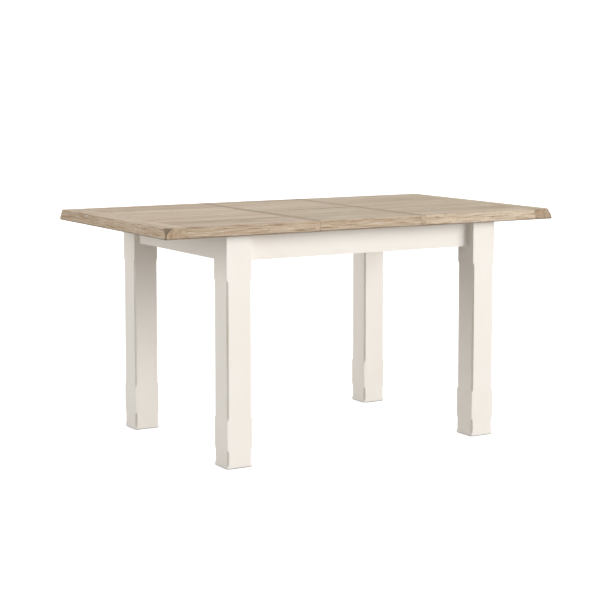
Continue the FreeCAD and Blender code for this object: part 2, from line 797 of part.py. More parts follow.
leaf_screws = node("pivot_bracket_screws", bracket_screws())
rear_leaf = leaf_board("rear", 1)
front_leaf = leaf_board("front", -1)
front_room = [hinge_barrel(f"front_mortise_{step}", f"({step} * hinge_spacing)", -1) for step in (-1, 0, 1)]
rear_room = [hinge_barrel(f"rear_mortise_{step}", f"({step} * hinge_spacing)", 1) for step in (-1, 0, 1)]
node("leaf_rear_panel", cut("leaf_rear_fitted", rear_leaf, rear_room + [leaf_screws]))
node("leaf_front_panel", cut("leaf_front_fitted", front_leaf, front_room))

pivot_screws = []
for side, sign in SIDES:
    pin = node(f"pivot_pin_{side}", pivot_pin(side, sign))
    plate = pivot_bracket(side, sign)
    node(f"pivot_bracket_{side}", cut(f"pivot_bracket_{side}_fitted", plate, [pin, leaf_screws]))
    wall = pivot_bush(side, sign)
    node(f"pivot_bush_{side}", cut(f"pivot_bush_{side}_bored", wall, [bush_bore(side, sign)]))
    for edge, edge_sign in EDGES:
        start = (
            f"{sign} * ({CROSS_NEAR} + cross_thick / 2)",
            f"{PIVOT_Y} + {edge_sign} * pivot_screw_offset",
            CROSS_LOW,
        )
        pivot_screws.append(screw(f"pivot_screw_{side}_{edge}", start, (0, 0, 1), "pivot_screw_length"))
    block_tools = [wall] + pivot_screws[-2:]
    node(f"pivot_block_{side}", cut(f"pivot_block_{side}_fitted", pivot_block(side, sign), block_tools))
pivot_block_screws = node("pivot_block_screws", group("pivot_block_screw_group", pivot_screws))

for side, side_sign in SIDES:
    screws = node(f"runner_screws_{side}", runner_screws(side, side_sign))
    board = field(side, side_sign)
    outer_cleat = end_cleat(side, side_sign)
    seam_cleat = inner_cleat(side, side_sign)
    node(f"top_{side}_field", cut(f"top_{side}_field_fitted", board, [screws]))
    node(f"top_{side}_end_cleat", cut(f"top_{side}_end_cleat_fitted", outer_cleat, [board]))
    node(f"top_{side}_inner_cleat", cut(f"top_{side}_inner_cleat_fitted", seam_cleat, [board]))
    for edge, edge_sign in EDGES:
        bar = runner(side, side_sign, edge, edge_sign)
        node(f"runner_{side}_{edge}", cut(f"runner_{side}_{edge}_fitted", bar, [screws]))

rail_screws = []
rails = []
for edge, edge_sign in EDGES:
    for side, side_sign in SIDES:
        start = (
            f"{side_sign} * ({CROSS_NEAR} + cross_thick / 2)",
            f"{edge_sign} * (({RAIL_IN} + {RAIL_OUT}) / 2)",
            FRAME_TOP,
        )
        rail_screws.append(screw(f"rail_screw_{edge}_{side}", start, (0, 0, -1), "rail_screw_length"))
guide_rail_screws = node("guide_rail_screws", group("guide_rail_screw_group", rail_screws))
for edge, edge_sign in EDGES:
    bar = guide_rail(edge, edge_sign)
    rails.append(node(f"guide_rail_{edge}", cut(f"guide_rail_{edge}_fitted", bar, [guide_rail_screws])))

cross_rails = []
for side, sign in SIDES:
    bar = cross_rail(side, sign)
    tools = [guide_rail_screws, pivot_block_screws]
    cross_rails.append(node(f"cross_rail_{side}", cut(f"cross_rail_{side}_fitted", bar, tools)))

aprons = {}
for edge, sign in EDGES:
    board = long_apron(edge, sign)
    aprons[edge] = node(f"apron_{edge}", cut(f"apron_{edge}_housed", board, cross_rails))
for side, sign in SIDES:
    board = end_apron(side, sign)
    aprons[side] = node(f"apron_{side}", cut(f"apron_{side}_housed", board, rails))

bolts = []
washers = []
nuts = []
glides = []
for side, side_sign in SIDES:
    for edge, edge_sign in EDGES:
        where = f"{edge}_{side}"
        signs = (side_sign, edge_sign)
        inner = "(block_thick + bolt_spare)"
        bolt = diagonal_rod(f"hanger_bolt_{where}", "bolt_radius", inner, f"{inner} + bolt_in_leg", *signs)
        washer_start = "(block_thick + washer_thick)"
        ring = diagonal_rod(f"washer_{where}_disc", "washer_radius", washer_start, "washer_thick", *signs)
        nut_start = "(block_thick + washer_thick + nut_thick)"
        hexagon = document.addObject("Part::Prism", f"nut_{where}_hexagon")
        hexagon.Polygon = 6
        drive(hexagon, Circumradius="nut_radius", Height="nut_thick")
        nut_place = (
            f"{side_sign} * ({LEG_INNER_X} - {nut_start} / sqrt(2))",
            f"{edge_sign} * ({LEG_INNER_Y} - {nut_start} / sqrt(2))",
            BOLT_Z,
        )
        place(hexagon, nut_place, (side_sign, edge_sign, 0))
        glide = foot_glide(f"foot_glide_{where}", *signs)
        block = corner_block(f"corner_block_{where}_board", *signs)
        post = leg_post(f"leg_{where}_post", *signs)
        node(f"corner_block_{where}", cut(f"corner_block_{where}_bored", block, [bolt]))
        node(f"leg_{where}", cut(f"leg_{where}_fitted", post, [aprons[edge], aprons[side], bolt, glide]))
        bolts.append(bolt)
        washers.append(cut(f"washer_{where}", ring, [bolt]))
        nuts.append(cut(f"nut_{where}", hexagon, [bolt]))
        glides.append(glide)
node("hanger_bolts", group("hanger_bolt_group", bolts))
node("hanger_washers", group("hanger_washer_group", washers))
node("hanger_nuts", group("hanger_nut_group", nuts))
node("foot_glides", group("foot_glide_group", glides))

document.recompute()

# Check every object and every node before anything is written
for item in document.Objects:
    if "Invalid" in item.State or "Error" in item.State:
        raise RuntimeError(f"{item.Label} failed: {item.State}")
for name, item in nodes.items():
    if item.Shape.isNull() or not item.Shape.isValid() or not item.Shape.Solids:
        raise RuntimeError(f"{name} has no valid solid")

os.makedirs("parts", exist_ok=True)
for name, item in nodes.items():
    item.Shape.exportStep(f"parts/{name}.step")
print(len(nodes), "nodes written")
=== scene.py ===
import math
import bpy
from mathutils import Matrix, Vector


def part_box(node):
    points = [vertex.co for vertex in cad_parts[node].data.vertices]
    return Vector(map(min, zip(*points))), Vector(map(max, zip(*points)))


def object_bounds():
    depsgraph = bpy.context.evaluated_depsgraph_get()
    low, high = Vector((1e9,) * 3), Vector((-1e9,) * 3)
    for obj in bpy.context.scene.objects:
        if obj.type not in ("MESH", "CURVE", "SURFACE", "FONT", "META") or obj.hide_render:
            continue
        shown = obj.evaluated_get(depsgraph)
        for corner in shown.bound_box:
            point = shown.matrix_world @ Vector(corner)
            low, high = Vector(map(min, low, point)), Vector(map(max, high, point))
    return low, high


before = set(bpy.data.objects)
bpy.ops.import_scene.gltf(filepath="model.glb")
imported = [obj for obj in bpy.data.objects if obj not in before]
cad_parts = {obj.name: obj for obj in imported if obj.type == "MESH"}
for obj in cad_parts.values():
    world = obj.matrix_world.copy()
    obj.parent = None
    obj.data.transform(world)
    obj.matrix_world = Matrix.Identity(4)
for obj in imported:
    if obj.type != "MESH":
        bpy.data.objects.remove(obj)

# An extending dining table: a washed oak top of two halves and a folding leaf,
# on an ivory painted base, with pine, beech and metal parts under the top.
from types import SimpleNamespace

import bpy
from mathutils import Vector

CAD_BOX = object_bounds()
AXES = {"X": 0, "Y": 1, "Z": 2}


# ---------- small tools ----------

def srgb(red, green, blue):
    """A colour given as 0 to 255 screen values, as the linear colour a shader takes."""
    linear = []
    for value in (red, green, blue):
        share = value / 255
        if share <= 0.04045:
            linear.append(share / 12.92)
        else:
            linear.append(((share + 0.055) / 1.055) ** 2.4)
    return (*linear, 1.0)


def blend(first, second, share):
    """The plain colour this share of the way from the first to the second."""
    return tuple(start + (end - start) * share for start, end in zip(first, second))


def shader(name, settings):
    """A new material, its node tree and its principled surface with these sockets set."""
    material = bpy.data.materials.new(name)
    material.use_nodes = True
    tree = material.node_tree
    tree.nodes.clear()
    output = tree.nodes.new("ShaderNodeOutputMaterial")
    surface = tree.nodes.new("ShaderNodeBsdfPrincipled")
    tree.links.new(surface.outputs["BSDF"], output.inputs["Surface"])
    for socket, value in settings.items():
        surface.inputs[socket].default_value = value
    return material, tree, surface


def coat(tree, surface, colour, roughness):
    """Feeds the surface a colour and a roughness that both vary over it."""
    tree.links.new(colour, surface.inputs["Base Color"])
    tree.links.new(roughness, surface.inputs["Roughness"])


def feed(tree, socket, value):
    """Links an output to a socket, or sets the socket when the value is plain."""
    if isinstance(value, bpy.types.NodeSocket):
        tree.links.new(value, socket)
    else:
        socket.default_value = value


def maths(tree, operation, first, second=0.0, clamp=False):
    node = tree.nodes.new("ShaderNodeMath")
    node.operation = operation
    node.use_clamp = clamp
    feed(tree, node.inputs[0], first)
    feed(tree, node.inputs[1], second)
    return node.outputs[0]


def plus(tree, first, second, clamp=False):
    return maths(tree, "ADD", first, second, clamp)


def times(tree, first, second):
    return maths(tree, "MULTIPLY", first, second)


def vector_maths(tree, operation, first, second=(0.0, 0.0, 0.0)):
    node = tree.nodes.new("ShaderNodeVectorMath")
    node.operation = operation
    feed(tree, node.inputs[0], first)
    feed(tree, node.inputs[1], second)
    return node.outputs[0]


def split(tree, vector):
    """The x, y and z of a vector, or the red, green and blue of a colour."""
    node = tree.nodes.new("ShaderNodeSeparateXYZ")
    tree.links.new(vector, node.inputs[0])
    return node.outputs


def unsigned(tree, vector):
    """The x, y and z of a vector without their signs."""
    return split(tree, vector_maths(tree, "ABSOLUTE", vector))


def ramp(tree, value, start, end, low=0.0, high=1.0):
    """low up to start, high from end on, and a smooth step between."""
    node = tree.nodes.new("ShaderNodeMapRange")
    node.interpolation_type = "SMOOTHSTEP"
    feed(tree, node.inputs["Value"], value)
    node.inputs["From Min"].default_value = start
    node.inputs["From Max"].default_value = end
    node.inputs["To Min"].default_value = low
    node.inputs["To Max"].default_value = high
    return node.outputs["Result"]


def between(tree, share, low, high):
    """low where the share is 0, high where it is 1, and a smooth step between."""
    return ramp(tree, share, 0.0, 1.0, low, high)


# The Mix node has sockets for every kind of value, and these are its colour ones.
MIX_FIRST = 6
MIX_SECOND = 7
MIX_RESULT = 2


def mix(tree, factor, first, second):
    node = tree.nodes.new("ShaderNodeMix")
    node.data_type = "RGBA"
    feed(tree, node.inputs["Factor"], factor)
    feed(tree, node.inputs[MIX_FIRST], first)
    feed(tree, node.inputs[MIX_SECOND], second)
    return node.outputs[MIX_RESULT]


def tint(tree, colour, towards, where, amount):
    """The colour taken by this amount towards another one, in full only where the share is 1."""
    return mix(tree, times(tree, where, amount), colour, towards)


def noise(tree, vector, scale=1.0, detail=2.0, roughness=0.5):
    node = tree.nodes.new("ShaderNodeTexNoise")
    tree.links.new(vector, node.inputs["Vector"])
    node.inputs["Scale"].default_value = scale
    node.inputs["Detail"].default_value = detail
    node.inputs["Roughness"].default_value = roughness
    return node.outputs["Fac"]


def cells(tree, vector, scale=1.0):
    node = tree.nodes.new("ShaderNodeTexVoronoi")
    tree.links.new(vector, node.inputs["Vector"])
    node.inputs["Scale"].default_value = scale
    return node.outputs


def drawn_out(tree, vector, grain, along, across):
    """The vector with few features a metre along the grain and many across it."""
    scales = [across, across, across]
    scales[AXES[grain]] = along
    return vector_maths(tree, "MULTIPLY", vector, scales)


def drawn_noise(tree, vector, grain, along, across, detail=2.0, roughness=0.5):
    """Noise in long features that follow the grain."""
    return noise(tree, drawn_out(tree, vector, grain, along, across), 1.0, detail, roughness)


def spot_on(tree):
    """The point on the surface, in the piece's own frame."""
    return tree.nodes.new("ShaderNodeTexCoord").outputs["Object"]


def facing(tree):
    """The way the surface faces there, in the piece's own frame."""
    return tree.nodes.new("ShaderNodeTexCoord").outputs["Normal"]


def bump(tree, surface, height, depth, strength):
    """Raises the surface by depth metres where height is 1."""
    node = tree.nodes.new("ShaderNodeBump")
    node.inputs["Strength"].default_value = strength
    node.inputs["Distance"].default_value = depth
    tree.links.new(height, node.inputs["Height"])
    tree.links.new(node.outputs["Normal"], surface.inputs["Normal"])


def edge_share(tree):
    """0 on faces nearly square to the frame, rising to 1 on the arrises and chamfers."""
    sides = unsigned(tree, facing(tree))
    largest = maths(tree, "MAXIMUM", maths(tree, "MAXIMUM", sides[0], sides[1]), sides[2])
    return ramp(tree, largest, 0.97, 0.75)


# ---------- oak ----------

OAK_WARM = srgb(203, 183, 163)
OAK_COOL = srgb(191, 178, 155)
OAK_LATEWOOD = srgb(150, 128, 104)
OAK_STREAK = srgb(132, 102, 70)
OAK_PORE = srgb(96, 74, 54)
# Painted shade: this dark colour along the lower arris of the top's sides stands in for the shadow under
# the top's edge.
OAK_ARRIS_SHADE = srgb(72, 54, 38)
OAK_LIME = srgb(220, 209, 193)
# Paler colour for the upright sides: partly brushed wear, partly painted light that brightens the sides.
OAK_EDGE_BRUSHED_AND_LIT = srgb(227, 204, 177)
OAK_END = srgb(168, 145, 118)
OAK_CLIP = srgb(120, 99, 70)
# Grime and painted shade in the seams and the leaf's fold, the shade standing in for the shadow in the
# grooves there.
SEAM_GRIME_AND_SHADE = srgb(92, 74, 56)
OAK_SHEEN = 0.12

HALF_TOP_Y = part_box("top_left_field")[1].y
TOP_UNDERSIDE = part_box("top_left_field")[0].z
HALF_SEAM_X = (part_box("leaf_rear_panel")[1].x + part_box("top_right_inner_cleat")[0].x) / 2
SEAM_SOFTNESS = 0.001
# How far the grime and painted shade reach from the seams and from the leaf's fold.
SEAM_REACH = 0.028
FOLD_REACH = 0.024
# Height of the band of painted shade along the lower arris.
LOWER_ARRIS_SHADE_HEIGHT = 0.006

# Each panel is cut from its own place in the wood, and so is each board glued into it.
PANEL_STEP = (1.37, 2.11, 0.73)
BOARD_STEP = (3.0, 3.0, 3.0)
BOARDS_ACROSS = 8
BOARD_WIDTH = 2 * HALF_TOP_Y / BOARDS_ACROSS
BOARD_WARMTH_SPREAD = 0.7

RING_COUNT = 26.0
KNOT_SWEEP = 0.10


def board_pick(tree, spot, seed):
    """A random number and colour for each glued board, the boards running along X."""
    across = plus(tree, split(tree, spot)[1], HALF_TOP_Y)
    number = maths(tree, "FLOOR", maths(tree, "DIVIDE", across, BOARD_WIDTH))
    pick = tree.nodes.new("ShaderNodeTexWhiteNoise")
    pick.noise_dimensions = "1D"
    tree.links.new(plus(tree, number, seed), pick.inputs["W"])
    return pick.outputs["Value"], pick.outputs["Color"]


def board_tones(tree, spot, cut, warmth, seed):
    """Where each glued board is cut from, and the colour it starts from."""
    value, pick = board_pick(tree, spot, seed)
    cut = vector_maths(tree, "ADD", cut, vector_maths(tree, "MULTIPLY", pick, BOARD_STEP))
    lowest = warmth - BOARD_WARMTH_SPREAD / 2
    balance = plus(tree, times(tree, value, BOARD_WARMTH_SPREAD), lowest, clamp=True)
    tones = split(tree, pick)
    colour = mix(tree, balance, OAK_COOL, OAK_WARM)
    colour = tint(tree, colour, OAK_LATEWOOD, ramp(tree, tones[1], 0.3, 0.9), amount=0.22)
    colour = tint(tree, colour, OAK_LIME, ramp(tree, tones[2], 0.4, 1.0), amount=0.25)
    return cut, colour


def seam_grime_and_shade_share(tree, spot):
    """Grime and painted shade: 1 at the seams between halves and leaf and at the leaf's fold, falling to
    0 beside them.
    """
    sides = unsigned(tree, spot)
    from_seam = maths(tree, "ABSOLUTE", maths(tree, "SUBTRACT", sides[0], HALF_SEAM_X))
    within_leaf = ramp(tree, sides[0], HALF_SEAM_X + SEAM_SOFTNESS, HALF_SEAM_X)
    fold = times(tree, ramp(tree, sides[1], FOLD_REACH, 0.0), within_leaf)
    return maths(tree, "MAXIMUM", ramp(tree, from_seam, SEAM_REACH, 0.0), fold)


def oak_rings(tree, cut, grain):
    """The growth rings, which sweep round scattered small knots, and the knots themselves."""
    knot = cells(tree, drawn_out(tree, cut, grain, along=3.2, across=15.0))
    present = ramp(tree, split(tree, knot["Color"])[0], 0.52, 0.60)
    core = times(tree, ramp(tree, knot["Distance"], 0.16, 0.03), present)
    sweep = times(tree, ramp(tree, knot["Distance"], 0.50, 0.0), present)
    trunk = drawn_noise(tree, cut, grain, along=0.8, across=7.5, roughness=0.35)
    bent = plus(tree, trunk, times(tree, sweep, KNOT_SWEEP))
    return maths(tree, "PINGPONG", times(tree, bent, RING_COUNT), 1.0), core


def oak_figure(tree, cut, grain):
    """The wood's figure, from its growth rings down to its pores."""
    rings, knots = oak_rings(tree, cut, grain)
    vessel = drawn_noise(tree, cut, grain, along=60.0, across=1500.0, detail=1.0)
    return SimpleNamespace(
        rings=rings,
        knots=knots,
        latewood=ramp(tree, rings, 0.35, 0.95),
        broad=drawn_noise(tree, cut, grain, along=1.1, across=13.0),
        streak=drawn_noise(tree, cut, grain, along=3.0, across=50.0, detail=4.0, roughness=0.62),
        line=drawn_noise(tree, cut, grain, along=11.0, across=300.0, detail=4.0, roughness=0.68),
        fibre=drawn_noise(tree, cut, grain, along=16.0, across=620.0, detail=3.0, roughness=0.6),
        pores=times(tree, ramp(tree, vessel, 0.56, 0.66), ramp(tree, rings, 0.75, 0.2)),
    )


def figured(tree, colour, figure, upright):
    """The figure's colours: bands and latewood, washed streaks, drawn lines and knots."""
    washed = between(tree, upright, 1.0, 0.45)
    drawn = between(tree, upright, 0.30, 0.85)
    dark_streak = times(tree, ramp(tree, figure.streak, 0.50, 0.78), washed)
    pale_streak = times(tree, ramp(tree, figure.streak, 0.48, 0.26), washed)
    dark_line = times(tree, ramp(tree, figure.line, 0.51, 0.68), drawn)
    pale_line = times(tree, ramp(tree, figure.line, 0.47, 0.32), drawn)
    colour = tint(tree, colour, OAK_LATEWOOD, ramp(tree, figure.broad, 0.50, 0.72), amount=0.35)
    colour = tint(tree, colour, OAK_LIME, ramp(tree, figure.broad, 0.50, 0.30), amount=0.30)
    colour = tint(tree, colour, OAK_LATEWOOD, figure.latewood, amount=0.24)
    colour = tint(tree, colour, OAK_LATEWOOD, dark_streak, amount=0.60)
    colour = tint(tree, colour, OAK_LIME, pale_streak, amount=0.50)
    colour = mix(tree, dark_line, colour, OAK_STREAK)
    colour = mix(tree, pale_line, colour, OAK_LIME)
    return tint(tree, colour, OAK_STREAK, figure.knots, amount=0.75)


def end_grained(tree, colour, cut, rings, sides, grain, end_tone):
    """Sawn ends, mottled and with their rings showing, and the dark clipped corners of the top."""
    mottle = noise(tree, cut, scale=90.0, detail=3.0, roughness=0.7)
    sawn_end = ramp(tree, sides[AXES[grain]], 0.80, 0.93, high=end_tone)
    mottled_end = times(tree, sawn_end, ramp(tree, mottle, 0.35, 0.65, low=0.35))
    ringed_end = times(tree, sawn_end, ramp(tree, rings, 0.55, 0.95))
    clipped = ramp(tree, maths(tree, "MINIMUM", sides[0], sides[1]), 0.30, 0.46)
    colour = mix(tree, mottled_end, colour, OAK_END)
    colour = tint(tree, colour, OAK_STREAK, ringed_end, amount=0.5)
    return tint(tree, colour, OAK_CLIP, clipped, amount=0.92)


def worn_and_shaded(tree, colour, spot, pores, upright):
    """Dark pores, limed arrises that are partly a painted highlight, painted shade along the lower
    arris, and grime and painted shade beside the seams.
    """
    height = split(tree, spot)[2]
    low = ramp(tree, height, TOP_UNDERSIDE + LOWER_ARRIS_SHADE_HEIGHT, TOP_UNDERSIDE)
    lower_arris_shade = times(tree, low, upright)
    # Grime and painted shade beside the seams, the shade standing in for the shadow in the seam grooves;
    # stronger on the top than on the sides.
    grime_and_shade = times(tree, seam_grime_and_shade_share(tree, spot), between(tree, upright, 0.27, 0.08))
    colour = tint(tree, colour, OAK_PORE, pores, amount=0.42)
    # Arrises limed and rubbed paler, partly wear and partly a painted highlight along them.
    colour = tint(tree, colour, OAK_LIME, edge_share(tree), amount=0.14)
    # Painted shade: the sides darken towards the lower arris, where the top's edge is in shadow.
    colour = tint(tree, colour, OAK_ARRIS_SHADE, lower_arris_shade, amount=0.85)
    return mix(tree, grime_and_shade, colour, SEAM_GRIME_AND_SHADE)


def washed_oak(name, grain, seed, warmth, boards=False, shade=0.0, edge_shade=0.0, end_tone=0.85):
    """Brushed and limed oak. The figure is solid, so edges and ends show the same rings as the face.

    Warmth 0 is cool wood and 1 is warm. With boards, each glued board gets its own tone, and
    without them shade darkens the whole piece. edge_shade darkens the edges, and end_tone is
    how far the sawn ends go to their own colour.
    """
    material, tree, surface = shader(name, {"IOR": 1.48, "Specular IOR Level": OAK_SHEEN})
    spot = spot_on(tree)
    cut = vector_maths(tree, "ADD", spot, [seed * step for step in PANEL_STEP])
    if boards:
        cut, colour = board_tones(tree, spot, cut, warmth, seed)
    else:
        colour = blend(blend(OAK_COOL, OAK_WARM, warmth), OAK_LATEWOOD, shade)
    figure = oak_figure(tree, cut, grain)
    sides = unsigned(tree, facing(tree))
    upright = ramp(tree, sides[2], 0.95, 0.55)
    # The upright sides are paler: partly brushed wear, partly painted light that brightens them.
    colour = tint(tree, colour, OAK_EDGE_BRUSHED_AND_LIT, upright, amount=0.6)
    colour = tint(tree, colour, OAK_STREAK, upright, amount=edge_shade)
    colour = figured(tree, colour, figure, upright)
    colour = end_grained(tree, colour, cut, figure.rings, sides, grain, end_tone)
    colour = worn_and_shaded(tree, colour, spot, figure.pores, upright)
    coat(tree, surface, colour, ramp(tree, figure.streak, 0.25, 0.75, low=0.62, high=0.80))
    raised = plus(tree, times(tree, figure.fibre, 0.35), times(tree, figure.latewood, 0.40))
    relief = maths(tree, "SUBTRACT", raised, figure.pores)
    bump(tree, surface, relief, depth=0.0003, strength=0.8)
    return material


# ---------- paint ----------

IVORY = srgb(242, 236, 228)
IVORY_WARM = srgb(237, 230, 219)
IVORY_RUBBED = srgb(214, 202, 180)
GHOST_RINGS = 20.0


def ivory_paint(name, grain):
    """Satin paint laid off along each member, over a wood whose grain just shows through."""
    material, tree, surface = shader(name, {"IOR": 1.5})
    spot = spot_on(tree)
    cloud = noise(tree, spot, scale=4.0, detail=3.0)
    peel = noise(tree, spot, scale=900.0)
    brush = drawn_noise(tree, spot, grain, along=5.0, across=420.0, detail=3.0, roughness=0.65)
    under = drawn_noise(tree, spot, grain, along=1.6, across=16.0)
    ghost = ramp(tree, maths(tree, "PINGPONG", times(tree, under, GHOST_RINGS), 1.0), 0.3, 1.0)
    rubbed = times(tree, edge_share(tree), ramp(tree, cloud, 0.42, 0.66, low=0.10, high=0.55))
    colour = tint(tree, IVORY, IVORY_WARM, ramp(tree, cloud, 0.35, 0.70), amount=0.55)
    colour = tint(tree, colour, IVORY_WARM, ramp(tree, brush, 0.40, 0.75), amount=0.22)
    colour = mix(tree, rubbed, colour, IVORY_RUBBED)
    coat(tree, surface, colour, ramp(tree, brush, 0.30, 0.70, low=0.38, high=0.50))
    laid = plus(tree, brush, times(tree, ghost, 0.35))
    relief = plus(tree, laid, times(tree, peel, 0.15))
    bump(tree, surface, relief, depth=0.00012, strength=0.7)
    return material


# ---------- pine and beech ----------

PINE_PALE = srgb(222, 192, 144)
PINE_DARK = srgb(178, 126, 74)
PINE_KNOT = srgb(112, 66, 34)
PINE_RINGS = 22.0
PINE_SWEEP = 0.18


def bare_pine(name, grain):
    """Planed pine with strong darker latewood lines and a few small knots."""
    material, tree, surface = shader(name, {"IOR": 1.45})
    spot = spot_on(tree)
    knots = cells(tree, drawn_out(tree, spot, grain, along=5.0, across=9.0))["Distance"]
    trunk = drawn_noise(tree, spot, grain, along=0.9, across=11.0, detail=1.0)
    fibre = drawn_noise(tree, spot, grain, along=14.0, across=700.0, detail=3.0)
    swept = plus(tree, trunk, times(tree, ramp(tree, knots, 0.25, 0.0), PINE_SWEEP))
    rings = maths(tree, "FRACT", times(tree, swept, PINE_RINGS))
    end_grain = ramp(tree, unsigned(tree, facing(tree))[AXES[grain]], 0.8, 0.95)
    colour = tint(tree, PINE_PALE, PINE_DARK, ramp(tree, rings, 0.45, 0.97), amount=0.75)
    colour = tint(tree, colour, PINE_DARK, ramp(tree, fibre, 0.40, 0.75), amount=0.22)
    colour = tint(tree, colour, PINE_KNOT, ramp(tree, knots, 0.085, 0.05), amount=0.9)
    colour = tint(tree, colour, PINE_DARK, end_grain, amount=0.3)
    coat(tree, surface, colour, ramp(tree, fibre, 0.3, 0.7, low=0.52, high=0.70))
    bump(tree, surface, plus(tree, rings, fibre), depth=0.00015, strength=0.6)
    return material


BEECH_PALE = srgb(216, 184, 146)
BEECH_ROSE = srgb(196, 156, 118)
BEECH_FLECK = srgb(142, 98, 66)
WAX_TRACK = srgb(232, 214, 182)
MOST_WAX = 0.5


def waxed_beech(name):
    """Straight-grained beech with short dark flecks, rubbed shiny on its sides, where it slides."""
    material, tree, surface = shader(name, {"IOR": 1.47})
    spot = spot_on(tree)
    streak = drawn_noise(tree, spot, "X", along=1.8, across=60.0, detail=3.0)
    flecks = drawn_noise(tree, spot, "X", along=150.0, across=900.0, detail=1.0)
    scuff = drawn_noise(tree, spot, "X", along=3.0, across=240.0, detail=3.0)
    sides = ramp(tree, unsigned(tree, facing(tree))[1], 0.8, 0.95)
    track = times(tree, sides, ramp(tree, scuff, 0.45, 0.65, high=MOST_WAX))
    colour = mix(tree, ramp(tree, streak, 0.3, 0.7), BEECH_PALE, BEECH_ROSE)
    colour = tint(tree, colour, BEECH_FLECK, ramp(tree, flecks, 0.60, 0.70), amount=0.6)
    colour = mix(tree, track, colour, WAX_TRACK)
    coat(tree, surface, colour, ramp(tree, track, 0.0, MOST_WAX, low=0.55, high=0.30))
    bump(tree, surface, maths(tree, "SUBTRACT", streak, flecks), depth=0.0001, strength=0.5)
    return material


# ---------- metal and nylon ----------

ZINC_BRIGHT = srgb(196, 200, 204)
ZINC_DULL = srgb(138, 142, 148)
ZINC_TINT = srgb(190, 182, 158)


def zinc_plate(name):
    """Bright zinc plating on steel: small crystals, a faint straw tint and dull handling marks."""
    material, tree, surface = shader(name, {"Metallic": 1.0})
    spot = spot_on(tree)
    crystals = times(tree, split(tree, cells(tree, spot, scale=700.0)["Color"])[0], 0.35)
    haze = noise(tree, spot, scale=120.0, detail=4.0, roughness=0.65)
    scratch = drawn_noise(tree, spot, "Y", along=60.0, across=2600.0)
    colour = mix(tree, crystals, ZINC_BRIGHT, ZINC_DULL)
    colour = tint(tree, colour, ZINC_TINT, ramp(tree, haze, 0.45, 0.75), amount=0.6)
    colour = tint(tree, colour, ZINC_DULL, ramp(tree, scratch, 0.62, 0.74), amount=0.5)
    coat(tree, surface, colour, ramp(tree, haze, 0.3, 0.7, low=0.26, high=0.48))
    bump(tree, surface, plus(tree, crystals, scratch), depth=0.00003, strength=0.6)
    return material


BRASS_BRIGHT = srgb(222, 190, 118)
BRASS_DULL = srgb(150, 112, 60)
BRASS_TARNISH = srgb(96, 72, 44)


def turned_brass(name):
    """Turned brass, dull and tarnished in patches."""
    material, tree, surface = shader(name, {"Metallic": 1.0})
    spot = spot_on(tree)
    patch = noise(tree, spot, scale=90.0, detail=4.0, roughness=0.6)
    turning = drawn_noise(tree, spot, "Y", along=40.0, across=3200.0)
    colour = mix(tree, ramp(tree, patch, 0.35, 0.70), BRASS_BRIGHT, BRASS_DULL)
    colour = tint(tree, colour, BRASS_TARNISH, ramp(tree, patch, 0.58, 0.74), amount=0.7)
    coat(tree, surface, colour, ramp(tree, patch, 0.3, 0.7, low=0.22, high=0.50))
    bump(tree, surface, turning, depth=0.00003, strength=0.6)
    return material


NYLON = srgb(150, 143, 130)
NYLON_SCUFF = srgb(96, 90, 82)
SCUFF_HEIGHT = 0.003


def moulded_nylon(name):
    """Moulded nylon with a fine spark-eroded texture and scuffs where it slides on the floor."""
    material, tree, surface = shader(name, {"IOR": 1.53})
    spot = spot_on(tree)
    texture = noise(tree, spot, scale=1800.0)
    scuff = drawn_noise(tree, spot, "X", along=90.0, across=800.0, detail=3.0)
    near_floor = ramp(tree, split(tree, spot)[2], SCUFF_HEIGHT, 0.0)
    scuffed = times(tree, near_floor, ramp(tree, scuff, 0.4, 0.65))
    dulled = plus(tree, scuffed, ramp(tree, texture, 0.4, 0.8, high=0.2), clamp=True)
    colour = mix(tree, dulled, NYLON, NYLON_SCUFF)
    coat(tree, surface, colour, ramp(tree, texture, 0.3, 0.7, low=0.42, high=0.60))
    bump(tree, surface, texture, depth=0.00006, strength=0.7)
    return material


# ---------- dressing the frame ----------

ROUNDING_ANGLE = math.radians(34)
WELD_DISTANCE = 0.00002
OAK_EASING = 0.0005
LEG_EASING = 0.0012
APRON_EASING = 0.0008
HIDDEN_EASING = 0.0006


def assign(node, material):
    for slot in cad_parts[node].material_slots:
        slot.material = material


def round_arrises(node, width):
    """Eases the sharp edges inward by this width, so that they catch the light."""
    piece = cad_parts[node]
    weld = piece.modifiers.new("weld", "WELD")
    weld.merge_threshold = WELD_DISTANCE
    bevel = piece.modifiers.new("eased_edges", "BEVEL")
    bevel.width = width
    bevel.segments = 3
    bevel.limit_method = "ANGLE"
    bevel.angle_limit = ROUNDING_ANGLE
    shading = piece.modifiers.new("even_shading", "WEIGHTED_NORMAL")
    shading.keep_sharp = False


def dress(prefix, material, rounding=None):
    """Gives every node whose name starts with the prefix this material and rounding."""
    for node in sorted(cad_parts):
        if node.startswith(prefix):
            assign(node, material)
            if rounding:
                round_arrises(node, rounding)


def dress_boards(node, name, seed, warmth, edge_shade):
    """A panel glued up from boards that run along the table."""
    oak = washed_oak(name, "X", seed, warmth, boards=True, edge_shade=edge_shade)
    dress(node, oak, OAK_EASING)


def dress_cleats(side, end_seed, end_warmth, inner_seed, inner_warmth):
    """A half's two cleats, which run across the table. The inner one is darker."""
    end = washed_oak(f"oak_{side}_end", "Y", end_seed, end_warmth, edge_shade=0.26)
    inner = washed_oak(f"oak_{side}_inner", "Y", inner_seed, inner_warmth, shade=0.32, end_tone=0.35)
    dress(f"top_{side}_end_cleat", end, OAK_EASING)
    dress(f"top_{side}_inner_cleat", inner, OAK_EASING)


